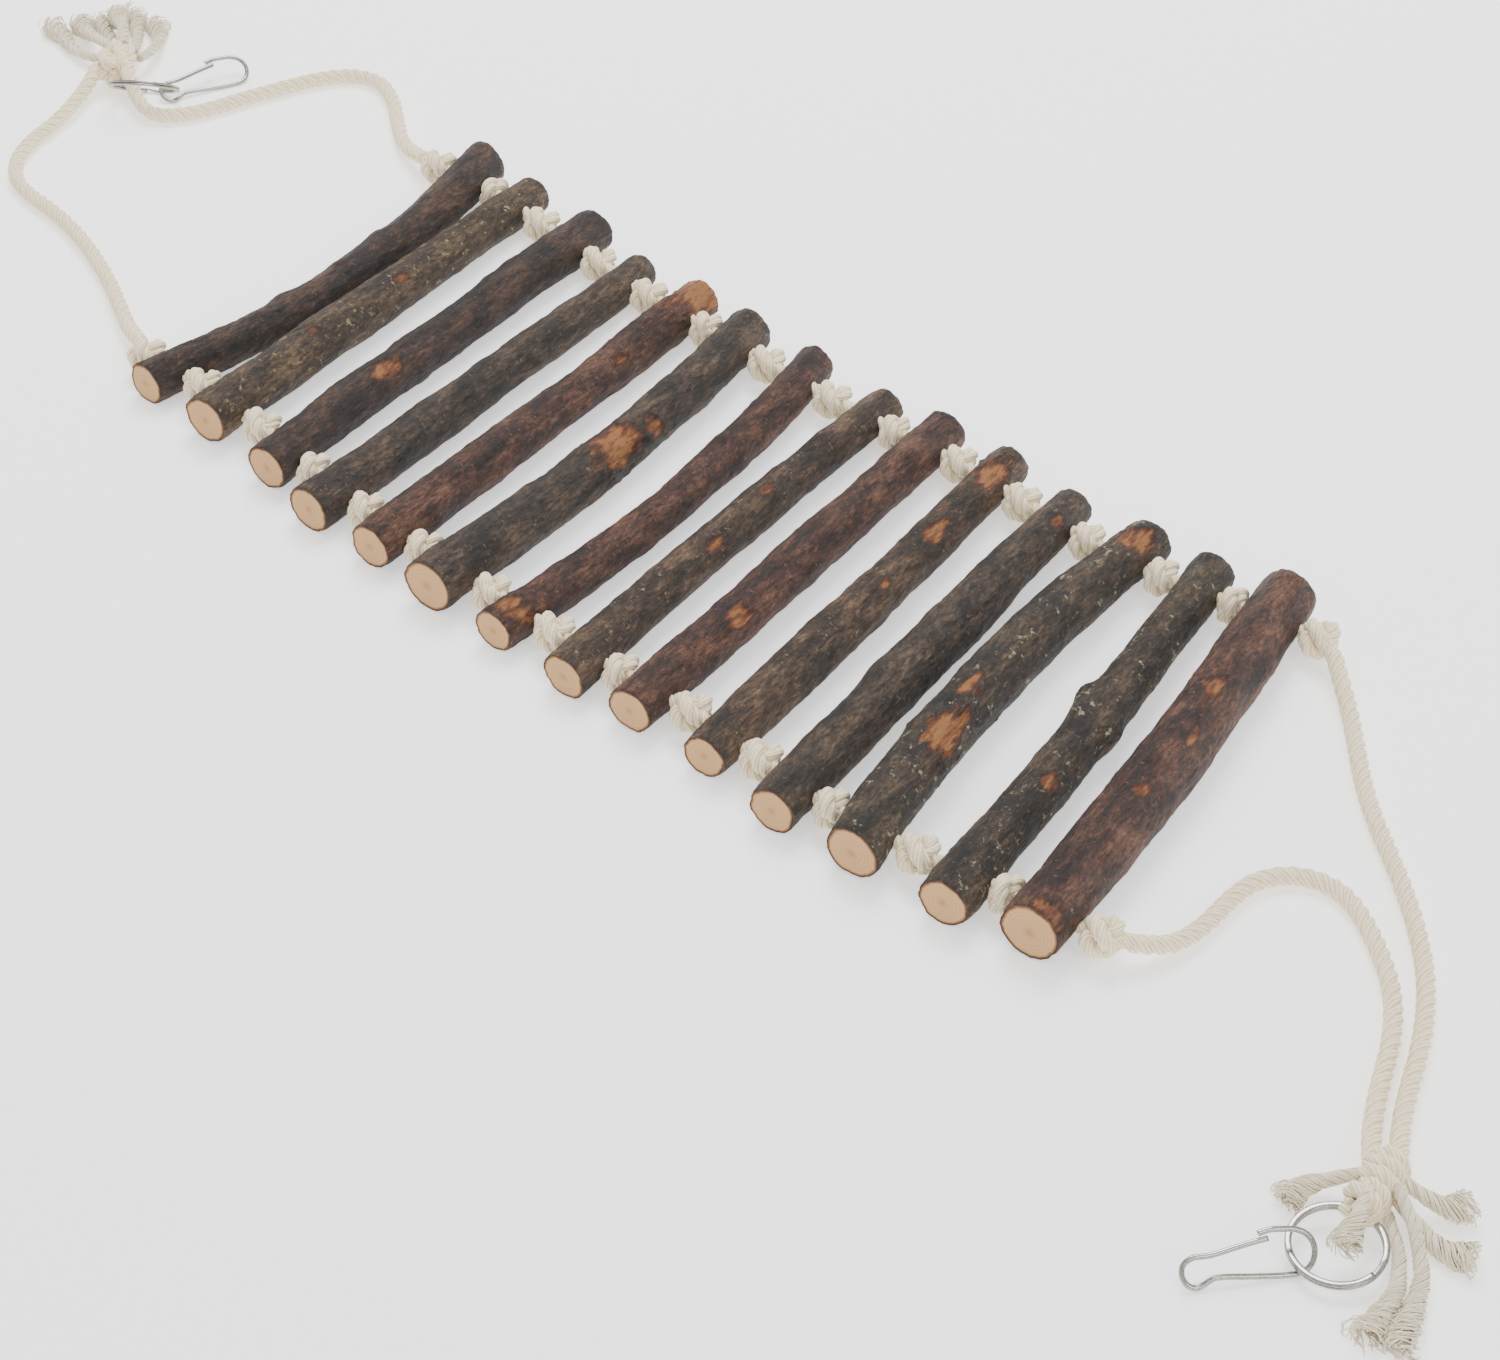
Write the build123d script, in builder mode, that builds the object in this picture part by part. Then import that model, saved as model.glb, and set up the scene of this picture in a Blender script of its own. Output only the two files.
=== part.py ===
"""Rope ladder for a small pet: bark-on branch rungs strung on two knotted cotton ropes.

Each end has a rope bridle, gathered in a knot that carries a split ring and a wire clip.
The ladder lies flat. X runs along it from rung 1 to the last rung, Y along the rungs
from their right ends to their left ends, and Z up from the surface it lies on.
"""
import os
from collections import namedtuple
from math import atan2, cos, pi, radians, sin, tan

from build123d import *

os.makedirs("parts", exist_ok=True)

# ---- rope, holes and knots, mm ------------------------------------------------
RUNG_LENGTH = 180
ROPE_DIA = 6
HOLE_DIA = 6.6
AXIS_HEIGHT = 8.5  # holes, knots and fold axes, above the surface
HOLE_INSET = 13  # from a rung's sawn end to its hole
KNOT_LENGTH = 16
KNOT_DIA = 12.6  # where the gap has room for it
KNOT_BLUNTING = 0.8  # what its two blunt ends take off its length
CLEARANCE = 0.65  # between a knot and the rung that folds around it

# ---- hardware, mm ---------------------------------------------------------------
RING_MEAN_RADIUS = 13
RING_SECTION = 2
RING_BORE_DIA = 4.8  # through the lower end knot
CLIP_WIRE = 1.7
GATE_PIVOT = (3.4, 5.4)  # in the clip's own plane, as its outline below
GATE_GAP = 0.5  # between the ends of the wire at the pivot

# ---- the rungs: natural branches, each with its own place and shape ---------------
# x, y: middle of the rung; fan: turn about Z, degrees; then the diameters at the
# right end, the middle and the left end, and how far the middle bows towards +X
Rung = namedtuple("Rung", "x y fan right middle left bow")
RUNGS = [
    Rung(-196, 25, -3, 15.5, 15, 17.5, 11),
    Rung(-166, 20, -1, 18.5, 17, 14.5, 0.5),
    Rung(-131.5, 13, -1, 17, 16.5, 17, -2),
    Rung(-104, 4, -1.5, 17.5, 15.5, 13.5, 1),
    Rung(-75, 1, -1.5, 17, 16, 16, 1),
    Rung(-47, -5, -0.5, 20, 17.5, 17, 5),
    Rung(-17, -8, -0.5, 15.5, 14, 15.5, 7),
    Rung(16, -13, -1, 16.5, 15, 14, -1.5),
    Rung(42, -14, -0.5, 17, 17, 15.5, 0.5),
    Rung(71.5, -17, 0.5, 16.5, 16.5, 15, 1),
    Rung(101.5, -25, 1, 17, 18, 15, 0.5),
    Rung(132, -27, 1, 19, 19.5, 17, -6),
    Rung(161, -28, 3.5, 17.5, 16.5, 16, 1.5),
    Rung(188, -25, 4, 20.5, 21, 19.5, 2.5),
]
STATIONS = (0, 0.25, 0.5, 0.75, 1)
RIGHT, LEFT = 0, 1
SIDES = {RIGHT: "right", LEFT: "left"}


def diameter_at(rung, s):
    """Diameter at the fraction s of the length from the right end."""
    if s < 0.5:
        return rung.right + (rung.middle - rung.right) * s / 0.5
    return rung.middle + (rung.left - rung.middle) * (s - 0.5) / 0.5


def spine_at(rung, s):
    """Point on the rung's axis: a shallow bow, resting on the surface all along."""
    along = (s - 0.5) * RUNG_LENGTH
    bow = rung.bow * 4 * s * (1 - s)
    turn = radians(rung.fan)
    x = rung.x + bow * cos(turn) - along * sin(turn)
    y = rung.y + bow * sin(turn) + along * cos(turn)
    return Vector(x, y, diameter_at(rung, s) / 2)


def hole_fraction(side):
    inset = HOLE_INSET / RUNG_LENGTH
    return 1 - inset if side == LEFT else inset


def face_at(rung, side, forward):
    """Point on the rung's front (+X) or back flank beside a hole."""
    s = hole_fraction(side)
    middle = spine_at(rung, s)
    reach = diameter_at(rung, s) / 2
    return Vector(middle.X + (reach if forward else -reach), middle.Y, AXIS_HEIGHT)


Knot = namedtuple("Knot", "centre radius")


def gap_knot(gap, side):
    """The knot in a gap, as large as the gap allows; gap 0 and the last are outside."""
    offset = Vector(KNOT_DIA / 2 + CLEARANCE, 0, 0)
    if gap == 0:
        return Knot(face_at(RUNGS[0], side, forward=False) - offset, KNOT_DIA / 2)
    if gap == len(RUNGS):
        return Knot(face_at(RUNGS[-1], side, forward=True) + offset, KNOT_DIA / 2)
    back = face_at(RUNGS[gap - 1], side, forward=True)
    front = face_at(RUNGS[gap], side, forward=False)
    room = (front.X - back.X) / 2 - CLEARANCE
    return Knot((back + front) / 2, min(room, KNOT_DIA / 2))


def fold_axis(gap):
    """Unit vector through a gap's two knots, from the right one to the left one."""
    return (gap_knot(gap, LEFT).centre - gap_knot(gap, RIGHT).centre).normalized()


def export(part, name):
    part.label = name
    export_step(part, f"parts/{name}.step")


# ---- rungs ------------------------------------------------------------------------
def make_rung(number):
    """A branch lofted along its bow, drilled through near both ends."""
    rung = RUNGS[number - 1]
    with BuildPart() as branch:
        for s in STATIONS:
            across = Vector(cos(radians(rung.fan)), sin(radians(rung.fan)), 0)
            along = Vector(-across.Y, across.X, 0)
            with BuildSketch(Plane(spine_at(rung, s), x_dir=across, z_dir=along)):
                Circle(diameter_at(rung, s) / 2)
        loft()
        for side in SIDES:
            start = gap_knot(number - 1, side).centre
            way = gap_knot(number, side).centre - start
            with BuildSketch(Plane(start, z_dir=way)):
                Circle(HOLE_DIA / 2)
            extrude(amount=way.length, mode=Mode.SUBTRACT)
    export(branch.part, f"rung_{number:02d}")


# ---- the ropes: one stretch for each rung, with the knot that follows it ---------------
def half_ellipse(centre, axis, length, width, normal):
    """Half an ellipse with blunt ends, which makes a knot when it is turned about its axis."""
    with BuildSketch(Plane(centre, x_dir=axis, z_dir=normal)) as outline:
        Ellipse(length / 2, width / 2)
        with Locations((0, width / 2)):
            Rectangle(length - KNOT_BLUNTING, width, mode=Mode.INTERSECT)
    return outline.sketch


def make_rope_stretch(number, side):
    before = gap_knot(number - 1, side)
    knot = gap_knot(number, side)
    way = (knot.centre - before.centre).normalized()
    start = before.centre + way * (before.radius + CLEARANCE)
    axis = fold_axis(number)
    profile = half_ellipse(knot.centre, axis, KNOT_LENGTH, 2 * knot.radius, (0, 0, -1))
    with BuildPart() as stretch:
        with BuildSketch(Plane(start, z_dir=way)):
            Circle(ROPE_DIA / 2)
        extrude(amount=(knot.centre - start).length)
        revolve(profile, axis=Axis(knot.centre, axis))
    export(stretch.part, f"rope_{SIDES[side]}_{number:02d}")


def make_outer_knot(side):
    knot = gap_knot(0, side)
    axis = fold_axis(0)
    profile = half_ellipse(knot.centre, axis, KNOT_LENGTH, 2 * knot.radius, (0, 0, -1))
    with BuildPart() as outer:
        revolve(profile, axis=Axis(knot.centre, axis))
    export(outer.part, f"outer_knot_{SIDES[side]}")


# ---- bridles: the rope ends beyond the first and last rungs -----------------------------
# A route runs from an outer knot to its end knot; the last point is inside the knot.
LOWER_RIGHT_ROUTE = [
    (219, -99.5, 8.2), (225.5, -93.5, 5.2), (229.5, -85, 3.4), (231.5, -74, 3), (232, -62, 3),
    (234, -52, 3), (240, -44, 3), (249, -40, 3), (259, -41, 3), (268, -47, 3),
    (279, -57, 3), (289, -69, 3), (296, -83, 3), (300.5, -98, 3), (305, -112, 3.4),
    (309.5, -123, 5), (314, -131.5, 7),
]
LOWER_LEFT_ROUTE = [
    (207.5, 47.5, 8.2), (214, 40.5, 5.6), (222, 31.5, 3.6), (231, 19, 3), (241, 4.5, 3),
    (251.5, -8, 3), (262, -18.5, 3), (272.5, -29.5, 3), (282.5, -41.5, 3), (291.5, -54, 3),
    (298.5, -67, 3), (304, -81, 3), (308, -95, 3), (312, -108.5, 3.4), (317, -121, 5),
    (321.5, -130.5, 7),
]
UPPER_RIGHT_ROUTE = [
    (-219, -48, 8.2), (-230, -42, 5), (-242.5, -33.5, 3.2), (-258, -23, 3), (-276, -13, 3),
    (-294, -5, 3), (-311, 0, 3), (-326, 2.5, 3), (-338, 8, 3), (-346.5, 17.5, 3),
    (-351, 30, 3), (-352, 44, 3.4), (-354.5, 58, 4.8), (-358, 69.5, 6.4), (-362, 79.5, 8),
]
UPPER_LEFT_ROUTE = [
    (-212.5, 103, 8.2), (-224.5, 107.5, 5.2), (-235, 114.5, 3.4), (-245, 124.5, 3),
    (-256, 135, 3), (-268.5, 142.5, 3), (-281, 140, 3), (-290, 130, 3), (-297.5, 116, 3),
    (-304.5, 101.5, 3), (-310, 88, 3), (-316.5, 77, 3), (-325.5, 70.5, 3.4),
    (-334.5, 72.5, 5.8), (-342.5, 78.2, 9), (-351.5, 83.5, 9.5),
]

EndKnot = namedtuple("EndKnot", "centre along length width")
LOWER_KNOT = EndKnot(Vector(319, -139.5, 7.5), Vector(0, -1, 0), 26, 15)
UPPER_KNOT = EndKnot(Vector(-358, 86, 8), Vector(-0.6, 0.8, 0), 22, 16)


def cord_radii(points):
    """As large an arc at each corner as its two runs allow."""
    radii = []
    for a, b, c in zip(points, points[1:], points[2:]):
        turn = radians((b - a).get_angle(c - b))
        radii.append(0.45 * min((b - a).length, (c - b).length) / tan(turn / 2))
    return radii


def make_cord(route, name, diameter=ROPE_DIA):
    """A round cord: straight runs joined by tangent arcs."""
    points = [Vector(*point) for point in route]
    radii = cord_radii(points)
    with BuildPart() as cord:
        with BuildLine() as line:
            FilletPolyline(*points, radius=radii)
        path = line.wires()[0]
        with BuildSketch(Plane(path @ 0, z_dir=path % 0)):
            Circle(diameter / 2)
        sweep(path=path)
    ratio = cord.part.volume / (path.length * pi * diameter**2 / 4)
    print(name, f"length {path.length:.1f} volume/section {ratio:.4f}")
    print("   radii", [round(radius, 1) for radius in radii])
    return cord.part


def make_leg(route, name):
    export(make_cord(route, name), name)


def make_end_knot(end_knot, name, bore=None):
    """A plump knot, with a bore where a ring passes through it."""
    across = end_knot.along.cross(Vector(0, 0, 1))
    profile = half_ellipse(
        end_knot.centre, end_knot.along, end_knot.length, end_knot.width, across
    )
    with BuildPart() as knot:
        revolve(profile, axis=Axis(end_knot.centre, end_knot.along))
        if bore:
            with BuildSketch(bore):
                Circle(RING_BORE_DIA / 2)
            extrude(amount=end_knot.width, both=True, mode=Mode.SUBTRACT)
    export(knot.part, name)


# ---- tassels: the six unlaid strands that leave each end knot ----------------------------
STRAND_DIA = 4
LOWER_TAILS = [
    [(313.5, -138, 8), (308, -141, 6), (301.5, -146.5, 3.2), (299.5, -154, 2.2)],
    [(319, -144, 12), (320.5, -151, 12.5), (321.5, -158, 11), (322.5, -164, 9)],
    [(323.5, -134, 9), (330.5, -133, 6), (337.5, -132.5, 4), (341.5, -126, 3)],
    [(325, -138.5, 6.5), (333, -141.5, 4), (342.5, -145, 2.6), (351.5, -142.5, 2.4)],
    [(325, -138.5, 11), (334, -145, 7), (342.5, -156, 3), (345.5, -169, 2.2), (347.5, -182, 2.2)],
    [(324.5, -142.5, 3.5), (332.5, -150, 2.3), (338, -161, 2.1), (339.5, -173, 2.1),
     (337.5, -183.5, 2.1)],
]
UPPER_TAILS = [
    [(-365, 88, 6), (-374, 87, 4.5), (-386, 89, 3), (-398, 95, 2.4), (-407.5, 98, 2.3)],
    [(-364.5, 91, 10.5), (-374.5, 94, 9), (-386, 98, 6), (-398, 105, 3.5)],
    [(-362.5, 94.5, 5), (-372, 99.5, 3.2), (-383, 106.5, 2.3), (-395, 111.5, 2.2)],
    [(-360, 93, 12.5), (-368, 101, 12), (-377, 109, 9), (-388, 117, 5)],
    [(-358.5, 96, 8), (-366, 106, 5), (-375.5, 115.5, 2.6), (-386, 125, 2.3)],
    [(-352.5, 93, 8.5), (-354.5, 103.5, 6.5), (-362, 115, 3.6), (-373.5, 124.5, 2.5)],
]


def make_tassel(tails, name):
    """Six separate strands, which begin inside the knot."""
    strands = [
        make_cord(route, f"{name} strand {number}", STRAND_DIA)
        for number, route in enumerate(tails, 1)
    ]
    with BuildPart() as tassel:
        add(strands)
    export(tassel.part, name)


# ---- split rings and wire clips ---------------------------------------------------------
# A ring turns about the tangent of its wire where the knot or the rope holds it.
LOWER_RING_TILT = 3.5
LOWER_RING_HOLD = Vector(319, -147.5, 5.5)
UPPER_RING_HOLD = Vector(-346.8, 71.6, 9)
UPPER_RING_SLOPE = 38

Ring = namedtuple("Ring", "hold tangent outward")  # outward: from the hold to the centre


def lower_ring():
    drop = radians(LOWER_RING_TILT)
    return Ring(LOWER_RING_HOLD, Vector(1, 0, 0), Vector(0, -cos(drop), -sin(drop)))


def upper_ring():
    slope = radians(UPPER_RING_SLOPE)
    outward = Vector(0.87, 0.49, 0).normalized()
    level = Vector(-outward.Y, outward.X, 0)
    return Ring(UPPER_RING_HOLD, level * cos(slope) - Vector(0, 0, sin(slope)), outward)


def ring_centre(ring):
    return ring.hold + ring.outward * RING_MEAN_RADIUS


def ring_point(ring, angle):
    """Centre of the ring's wire, at an angle from the outward side towards the tangent."""
    turn = radians(angle)
    spoke = ring.outward * cos(turn) + ring.tangent * sin(turn)
    return ring_centre(ring) + spoke * RING_MEAN_RADIUS


def ring_tangent(ring, angle):
    turn = radians(angle)
    return ring.tangent * cos(turn) - ring.outward * sin(turn)


def make_ring(ring, name):
    normal = ring.outward.cross(ring.tangent)
    with BuildPart(Plane(ring_centre(ring), x_dir=ring.outward, z_dir=normal)) as wire_ring:
        Torus(RING_MEAN_RADIUS, RING_SECTION / 2)
    export(wire_ring.part, name)


# The clip's wire in its own plane: u runs from the small eye to the big bend, v from the
# straight back to the gate. The frame's wire starts at the latch and ends at the eye.
CLIP_FRAME = [
    (21.4, 11.9), (26, 12.3), (30.5, 12.3), (34.4, 9.8), (36, 6), (34.6, 2.2), (31, 0),
    (20, -0.2), (9.5, 0), (6.8, -1.6), (4.2, -2.8), (1.5, -1.8), (0, 1), (0.8, 4),
    (GATE_PIVOT[0] - GATE_GAP / 2, GATE_PIVOT[1]),
]
CLIP_GATE = [(GATE_PIVOT[0] + GATE_GAP / 2, GATE_PIVOT[1]), (8.2, 5.8), (14, 7.5), (23.4, 9.9)]
CLIP_REST = ((4.2, -2.8), (31, 0))  # the two low points of the back, as it lies

Clip = namedtuple("Clip", "origin long across")


def clip_plane(clip):
    return Plane(clip.origin, x_dir=clip.long, z_dir=clip.long.cross(clip.across))


def clip_point(clip, u, v):
    return clip.origin + clip.long * u + clip.across * v


def lying_clip(link, link_uv, heading, roll):
    """A clip resting on its two low points, rolled up about the line through them.

    Its point link_uv is at link, and heading is the way from its small eye to its big bend.
    """
    forward = Vector(cos(radians(heading)), sin(radians(heading)), 0)
    left = Vector(-forward.Y, forward.X, 0)
    side = left * cos(radians(roll)) + Vector(0, 0, sin(radians(roll)))
    (u0, v0), (u1, v1) = CLIP_REST
    slant = atan2(v1 - v0, u1 - u0)
    long = forward * cos(slant) - side * sin(slant)
    across = forward * sin(slant) + side * cos(slant)
    return Clip(link - long * link_uv[0] - across * link_uv[1], long, across)


def wire_path(points):
    radii = cord_radii([Vector(u, v, 0) for u, v in points])
    return FilletPolyline(*points, radius=radii)


def make_wire(clip, points, name):
    with BuildPart() as wire:
        with BuildLine(clip_plane(clip)) as line:
            wire_path(points)
        path = line.wires()[0]
        with BuildSketch(Plane(path @ 0, z_dir=path % 0)):
            Circle(CLIP_WIRE / 2)
        sweep(path=path)
    export(wire.part, name)


def lower_clip():
    return lying_clip(ring_point(lower_ring(), -35), (30.2, 4), 45, 50)


def upper_clip():
    return lying_clip(ring_point(upper_ring(), 48), (4.4, 1.6), 64, 32)


def make_all():
    for number in range(1, len(RUNGS) + 1):
        make_rung(number)
        for side in SIDES:
            make_rope_stretch(number, side)
    for side in SIDES:
        make_outer_knot(side)
    make_leg(LOWER_RIGHT_ROUTE, "lower_leg_right")
    make_leg(LOWER_LEFT_ROUTE, "lower_leg_left")
    make_leg(UPPER_RIGHT_ROUTE, "upper_leg_right")
    make_leg(UPPER_LEFT_ROUTE, "upper_leg_left")
    make_end_knot(LOWER_KNOT, "lower_end_knot", Plane(LOWER_RING_HOLD, z_dir=(1, 0, 0)))
    make_end_knot(UPPER_KNOT, "upper_end_knot")
    make_tassel(LOWER_TAILS, "lower_tassel")
    make_tassel(UPPER_TAILS, "upper_tassel")
    make_ring(lower_ring(), "lower_split_ring")
    make_ring(upper_ring(), "upper_split_ring")
    for end, clip in (("lower", lower_clip()), ("upper", upper_clip())):
        make_wire(clip, CLIP_FRAME, f"{end}_clip_frame")
        make_wire(clip, CLIP_GATE, f"{end}_clip_gate")


make_all()
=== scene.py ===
"""Looks of the pet's rope ladder: bark, sawn wood, laid cotton rope and bright wire.

Lengths are in metres unless a name says mm. X runs along the ladder, Y along the rungs.
"""
import math

import bpy
from mathutils import Matrix, Vector, noise


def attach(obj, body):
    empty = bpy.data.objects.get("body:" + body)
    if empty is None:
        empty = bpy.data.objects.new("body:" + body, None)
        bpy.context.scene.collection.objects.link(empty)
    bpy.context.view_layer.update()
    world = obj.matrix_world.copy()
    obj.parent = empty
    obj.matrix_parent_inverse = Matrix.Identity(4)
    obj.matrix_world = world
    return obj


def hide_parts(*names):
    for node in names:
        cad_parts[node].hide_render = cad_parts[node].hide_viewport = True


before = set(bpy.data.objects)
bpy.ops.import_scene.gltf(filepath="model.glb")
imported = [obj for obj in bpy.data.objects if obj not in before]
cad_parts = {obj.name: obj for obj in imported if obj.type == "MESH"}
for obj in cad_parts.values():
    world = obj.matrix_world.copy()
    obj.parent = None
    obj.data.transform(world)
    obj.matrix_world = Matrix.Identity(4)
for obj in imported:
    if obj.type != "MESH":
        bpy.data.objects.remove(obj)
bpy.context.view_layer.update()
MM = 0.001
ENDS = ("lower", "upper")
SIDES = ("right", "left")

# ---- camera, light and floor --------------------------------------------------------
camera_data = bpy.data.cameras.new("camera")
camera_data.lens = 79.2
camera_data.sensor_width = 36
camera = bpy.data.objects.new("camera", camera_data)
camera.location = (0.5141, -0.7035, 0.6986)
camera.rotation_euler = (math.radians(90 - 41.6), 0, math.radians(35.437))
bpy.context.scene.collection.objects.link(camera)
bpy.context.scene.camera = camera


def put(name, data):
    """A new object in the scene, at the origin."""
    made = bpy.data.objects.new(name, data)
    bpy.context.scene.collection.objects.link(made)
    return made


def add_area_light(name, place, target, size, power):
    """A round soft light, power in watts, turned to face the target."""
    data = bpy.data.lights.new(name, "AREA")
    data.shape = "DISK"
    data.size = size
    data.energy = power
    lamp = put(name, data)
    lamp.location = place
    lamp.rotation_euler = (Vector(target) - Vector(place)).to_track_quat("-Z", "Y").to_euler()


add_area_light("overhead_softbox", (-0.5, 0.7, 1.5), (0, 0, 0), 1.1, 34)
add_area_light("side_softbox", (1.3, -0.5, 1.1), (0, 0, 0), 0.9, 9)


# ---- materials ----------------------------------------------------------------------
def linear(hex_colour):
    """An sRGB hex colour as linear red, green, blue and alpha."""
    values = []
    for start in (1, 3, 5):
        v = int(hex_colour[start:start + 2], 16) / 255
        values.append(v / 12.92 if v <= 0.04045 else ((v + 0.055) / 1.055) ** 2.4)
    return (*values, 1)


def add(tree, kind, inputs=None, **settings):
    """Adds a node. An input given a socket is linked, and any other value is set."""
    made = tree.nodes.new(kind)
    for key, value in settings.items():
        setattr(made, key, value)
    for key, value in (inputs or {}).items():
        if isinstance(value, bpy.types.NodeSocket):
            tree.links.new(value, made.inputs[key])
        else:
            made.inputs[key].default_value = value
    return made


def blank_material(name):
    """A new material without nodes, and its node tree."""
    material = bpy.data.materials.new(name)
    material.use_nodes = True
    material.node_tree.nodes.clear()
    return material, material.node_tree


def finish_material(material, tree, inputs, height=None, depth=0.0002, strength=0.6):
    """Puts the shader and its bump on a material; depth is the bump's real height."""
    if height is not None:
        bump = add(tree, "ShaderNodeBump", {
            "Height": height, "Distance": depth, "Strength": strength})
        inputs["Normal"] = bump.outputs["Normal"]
    shader = add(tree, "ShaderNodeBsdfPrincipled", inputs)
    add(tree, "ShaderNodeOutputMaterial", {"Surface": shader.outputs[0]})
    return material


def ramp(tree, factor, stops):
    """A colour ramp from (place, hex) pairs."""
    made = add(tree, "ShaderNodeValToRGB", {"Fac": factor})
    elements = made.color_ramp.elements
    while len(elements) < len(stops):
        elements.new(1)
    for element, (place, colour) in zip(elements, stops):
        element.position = place
        element.color = linear(colour)
    return made.outputs["Color"]


def mixed(tree, factor, a, b, blend_type="MIX"):
    """Colour a blended with colour b. The node takes colours in sockets 6 and 7."""
    return add(tree, "ShaderNodeMix", {0: factor, 6: a, 7: b}, data_type="RGBA",
               blend_type=blend_type).outputs[2]


def make_bark(name, dark, mid, light, lichen, lichen_cover):
    """Young bark, dried on the branch: matt, mottled, with pores and flecks of lichen."""
    material, tree = blank_material(name)
    place = add(tree, "ShaderNodeTexCoord").outputs["Object"]
    # patches are about three times as long along the branch as across it
    stretched = add(tree, "ShaderNodeMapping", {"Vector": place, "Scale": (1, 0.35, 1)}).outputs[0]
    patches = add(tree, "ShaderNodeTexNoise", {
        "Vector": stretched, "Scale": 130, "Detail": 5, "Roughness": 0.65}).outputs["Fac"]
    grain = add(tree, "ShaderNodeTexNoise", {
        "Vector": stretched, "Scale": 900, "Detail": 4, "Roughness": 0.7}).outputs["Fac"]
    blotches = add(tree, "ShaderNodeTexNoise", {
        "Vector": stretched, "Scale": 420, "Detail": 6, "Roughness": 0.75}).outputs["Fac"]
    mottle = add(tree, "ShaderNodeMath", {0: blotches, 1: 0.6, 2: patches},
                 operation="MULTIPLY_ADD").outputs[0]
    colour = ramp(tree, mottle, [(0.65, dark), (0.79, mid), (0.93, light)])
    shade = ramp(tree, grain, [(0.34, "#39332f"), (0.5, "#b5ada4"), (0.64, "#ffffff")])
    colour = mixed(tree, 0.85, colour, shade, "MULTIPLY")
    # pores: short pale dashes about 1 mm long, which run round the branch
    round_about = add(tree, "ShaderNodeMapping", {
        "Vector": place, "Scale": (0.5, 1.3, 0.5)}).outputs[0]
    pores = add(tree, "ShaderNodeTexVoronoi", {
        "Vector": round_about, "Scale": 420}).outputs["Distance"]
    pore_mask = add(tree, "ShaderNodeMapRange", {
        "Value": pores, "From Min": 0.17, "From Max": 0.1, "To Min": 0, "To Max": 0.75}).outputs[0]
    colour = mixed(tree, pore_mask, colour, linear(light))
    # lichen: pale crusts 2 to 5 mm across, broken at their edges
    crusts = add(tree, "ShaderNodeTexNoise", {
        "Vector": place, "Scale": 260, "Detail": 6, "Roughness": 0.75}).outputs["Fac"]
    edge = 0.72 - lichen_cover * 0.22
    crust_mask = add(tree, "ShaderNodeMapRange", {
        "Value": crusts, "From Min": edge, "From Max": edge + 0.05,
        "To Min": 0, "To Max": 0.85}).outputs[0]
    colour = mixed(tree, crust_mask, colour, linear(lichen))
    # where the bark is gone: a dark torn rim, red inner bark, then orange wood
    bare = add(tree, "ShaderNodeAttribute", attribute_name="bare").outputs["Fac"]
    splinters = add(tree, "ShaderNodeMapping", {"Vector": place, "Scale": (1, 0.25, 1)}).outputs[0]
    streaks = add(tree, "ShaderNodeTexNoise", {
        "Vector": splinters, "Scale": 520, "Detail": 5, "Roughness": 0.7}).outputs["Fac"]
    torn = add(tree, "ShaderNodeMath", {0: streaks, 1: 2.2, 2: -1.1},
               operation="MULTIPLY_ADD").outputs[0]
    torn = add(tree, "ShaderNodeMath", {0: bare, 1: torn}, operation="ADD").outputs[0]
    wood = ramp(tree, torn, [
        (0.3, dark), (0.45, "#361a0e"), (0.7, "#5f3317"), (0.88, "#7d4a22"), (1.0, "#956234")])
    bare_mask = add(tree, "ShaderNodeMapRange", {
        "Value": torn, "From Min": 0.22, "From Max": 0.42}).outputs[0]
    off_the_bark = add(tree, "ShaderNodeMapRange", {
        "Value": bare, "From Min": 0.02, "From Max": 0.2}).outputs[0]
    bare_mask = add(tree, "ShaderNodeMath", {0: bare_mask, 1: off_the_bark},
                    operation="MULTIPLY").outputs[0]
    colour = mixed(tree, bare_mask, colour, wood)
    height = add(tree, "ShaderNodeMath", {0: blotches, 1: 1.6, 2: grain},
                 operation="MULTIPLY_ADD").outputs[0]
    return finish_material(material, tree, {
        "Base Color": colour, "Roughness": 0.62, "Specular IOR Level": 0.5}, height, 0.0013, 1.0)


GROWTH_RING_MM = 1.3


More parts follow.
